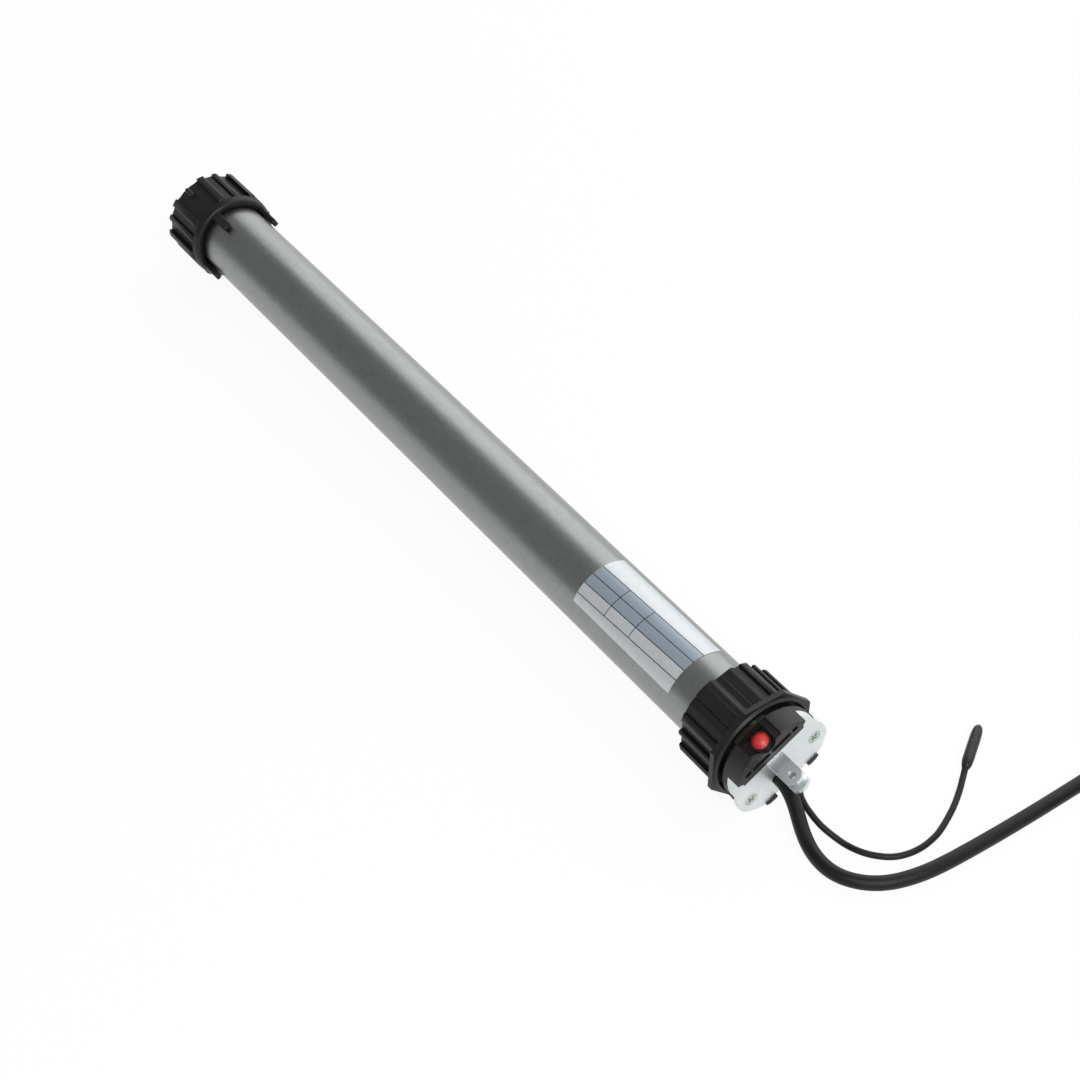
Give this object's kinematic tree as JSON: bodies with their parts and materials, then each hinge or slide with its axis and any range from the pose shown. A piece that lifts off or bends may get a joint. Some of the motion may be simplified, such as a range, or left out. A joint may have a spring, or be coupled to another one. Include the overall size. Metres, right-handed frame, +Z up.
{
  "type": "tubular roller blind motor",
  "caption": "Long tubular motor for a roller blind: square-pin bracket head with setting button, ribbed octagonal collar, steel tube, ribbed drive wheel, supply cable and antenna lead.",
  "frame": {"origin": "on the motor's axis, at the centre of the cross hole through the square drive pin", "axes": "+X along the motor's axis, out of the head; +Z up, away from the surface that it lies on"},
  "size_m": [0.7949, 0.2821, 0.062],
  "materials": {
    "zinc_tube": "matte galvanised",
    "bracket_steel": "bright zinc plate",
    "black_moulding": "moulded, fine grain",
    "red_button": "smooth",
    "green_light": "clear tinted",
    "label_paper": "printed film",
    "cord_sheath": "satin",
    "core_brown": "insulation with bare ends",
    "gear_plastic": "moulded",
    "gear_steel": "machined",
    "magnet": "sintered",
    "board": "lacquered",
    "relay_blue": "moulded",
    "transformer_yellow": "taped coil and core",
    "terminal_green": "moulded",
    "capacitor_sleeve": "shrunk sleeve",
    "die_cast": "cast",
    "bearing_bronze": "sintered bronze",
    "lamination": "stacked sheet",
    "copper": "enamelled wire",
    "friction": "friction lining on steel",
    "spring_steel": "drawn wire"
  },
  "bodies": {
    "motor": {"motor_tube": "zinc_tube", "rating_label": "label_paper", "head_body": "black_moulding", "head_bracket": "bracket_steel", "bracket_screws": "bracket_steel", "status_light": "green_light", "cable_gland": "black_moulding", "power_cable": "cord_sheath", "power_cable_coil": "cord_sheath", "power_cable_cores": "core_brown", "antenna_lead": "cord_sheath", "antenna_sleeve": "cord_sheath", "sensor_pin": "gear_steel", "button_board": "board", "setting_switch": "black_moulding", "control_board": "board", "board_carrier": "black_moulding", "relays": "relay_blue", "board_transformer": "transformer_yellow", "terminal_block": "terminal_green", "radio_module": "board", "run_capacitor": "capacitor_sleeve", "capacitor_cradle": "black_moulding", "rear_shield": "die_cast", "rear_bearing": "bearing_bronze", "stator_core": "lamination", "stator_windings": "copper", "front_shield": "die_cast", "front_bearing": "bearing_bronze", "brake_spring": "spring_steel", "brake_housing": "die_cast", "ring_gear": "gear_steel", "output_bush": "die_cast"},
    "crown": {"crown_ring": "black_moulding"},
    "sensor_gear": {"sensor_pinion": "gear_plastic", "sensor_magnet": "magnet"},
    "button": {"setting_button": "red_button"},
    "brake": {"brake_plate": "friction"},
    "rotor": {"rotor_core": "lamination", "rotor_shaft": "gear_steel", "brake_disc": "friction", "sun_gear": "gear_steel"},
    "stage_1": {"carrier_1": "gear_steel", "planet_pins_1": "gear_steel"},
    "stage_2": {"carrier_2": "gear_steel", "planet_pins_2": "gear_steel"},
    "drive": {"carrier_3": "gear_steel", "planet_pins_3": "gear_steel", "output_shaft": "gear_steel", "drive_wheel": "black_moulding", "wheel_retainer": "gear_steel"},
    "planet_1a_gear": {"planet_1a": "gear_plastic"},
    "planet_1b_gear": {"planet_1b": "gear_plastic"},
    "planet_1c_gear": {"planet_1c": "gear_plastic"},
    "planet_2a_gear": {"planet_2a": "gear_steel"},
    "planet_2b_gear": {"planet_2b": "gear_steel"},
    "planet_2c_gear": {"planet_2c": "gear_steel"},
    "planet_3a_gear": {"planet_3a": "gear_steel"},
    "planet_3b_gear": {"planet_3b": "gear_steel"},
    "planet_3c_gear": {"planet_3c": "gear_steel"}
  },
  "joints": [
    {"name": "drive_spin", "type": "hinge", "parent": "motor", "child": "drive", "pos_m": [0, 0, 0], "axis": [1, 0, 0], "continuous": true},
    {"name": "stage_2_spin", "type": "hinge", "parent": "motor", "child": "stage_2", "pos_m": [0, 0, 0], "axis": [1, 0, 0], "continuous": true},
    {"name": "stage_1_spin", "type": "hinge", "parent": "motor", "child": "stage_1", "pos_m": [0, 0, 0], "axis": [1, 0, 0], "continuous": true},
    {"name": "rotor_spin", "type": "hinge", "parent": "motor", "child": "rotor", "pos_m": [0, 0, 0], "axis": [1, 0, 0], "continuous": true},
    {"name": "planet_1a_spin", "type": "hinge", "parent": "stage_1", "child": "planet_1a_gear", "pos_m": [0, 0.0108, 0], "axis": [1, 0, 0], "continuous": true},
    {"name": "planet_1b_spin", "type": "hinge", "parent": "stage_1", "child": "planet_1b_gear", "pos_m": [0, -0.0054, 0.00935], "axis": [1, 0, 0], "continuous": true},
    {"name": "planet_1c_spin", "type": "hinge", "parent": "stage_1", "child": "planet_1c_gear", "pos_m": [0, -0.0054, -0.00935], "axis": [1, 0, 0], "continuous": true},
    {"name": "planet_2a_spin", "type": "hinge", "parent": "stage_2", "child": "planet_2a_gear", "pos_m": [0, 0.0108, 0], "axis": [1, 0, 0], "continuous": true},
    {"name": "planet_2b_spin", "type": "hinge", "parent": "stage_2", "child": "planet_2b_gear", "pos_m": [0, -0.0054, 0.00935], "axis": [1, 0, 0], "continuous": true},
    {"name": "planet_2c_spin", "type": "hinge", "parent": "stage_2", "child": "planet_2c_gear", "pos_m": [0, -0.0054, -0.00935], "axis": [1, 0, 0], "continuous": true},
    {"name": "planet_3a_spin", "type": "hinge", "parent": "drive", "child": "planet_3a_gear", "pos_m": [0, 0.0108, 0], "axis": [1, 0, 0], "continuous": true},
    {"name": "planet_3b_spin", "type": "hinge", "parent": "drive", "child": "planet_3b_gear", "pos_m": [0, -0.0054, 0.00935], "axis": [1, 0, 0], "continuous": true},
    {"name": "planet_3c_spin", "type": "hinge", "parent": "drive", "child": "planet_3c_gear", "pos_m": [0, -0.0054, -0.00935], "axis": [1, 0, 0], "continuous": true},
    {"name": "crown_spin", "type": "hinge", "parent": "motor", "child": "crown", "pos_m": [0, 0, 0], "axis": [1, 0, 0], "continuous": true},
    {"name": "sensor_spin", "type": "hinge", "parent": "motor", "child": "sensor_gear", "pos_m": [0, -0.01109, -0.01262], "axis": [1, 0, 0], "continuous": true},
    {"name": "button_press", "type": "slide", "parent": "motor", "child": "button", "axis": [0, 0.4802, -0.8771], "range_m": [0, 0.0012], "stiffness_N_per_m": 500, "springref_m": -0.001},
    {"name": "brake_release", "type": "slide", "parent": "motor", "child": "brake", "axis": [1, 0, 0], "range_m": [0, 0.0005], "stiffness_N_per_m": 3000, "springref_m": -0.002, "deforming": ["brake_spring"]}
  ],
  "couplings": [
    {"joint": "stage_2_spin", "follows": "drive_spin", "ratio": 6},
    {"joint": "stage_1_spin", "follows": "drive_spin", "ratio": 36},
    {"joint": "rotor_spin", "follows": "drive_spin", "ratio": 216},
    {"joint": "planet_1a_spin", "follows": "drive_spin", "ratio": -90},
    {"joint": "planet_1b_spin", "follows": "drive_spin", "ratio": -90},
    {"joint": "planet_1c_spin", "follows": "drive_spin", "ratio": -90},
    {"joint": "planet_2a_spin", "follows": "drive_spin", "ratio": -15},
    {"joint": "planet_2b_spin", "follows": "drive_spin", "ratio": -15},
    {"joint": "planet_2c_spin", "follows": "drive_spin", "ratio": -15},
    {"joint": "planet_3a_spin", "follows": "drive_spin", "ratio": -2.5},
    {"joint": "planet_3b_spin", "follows": "drive_spin", "ratio": -2.5},
    {"joint": "planet_3c_spin", "follows": "drive_spin", "ratio": -2.5},
    {"joint": "sensor_spin", "follows": "crown_spin", "ratio": 4}
  ]
}
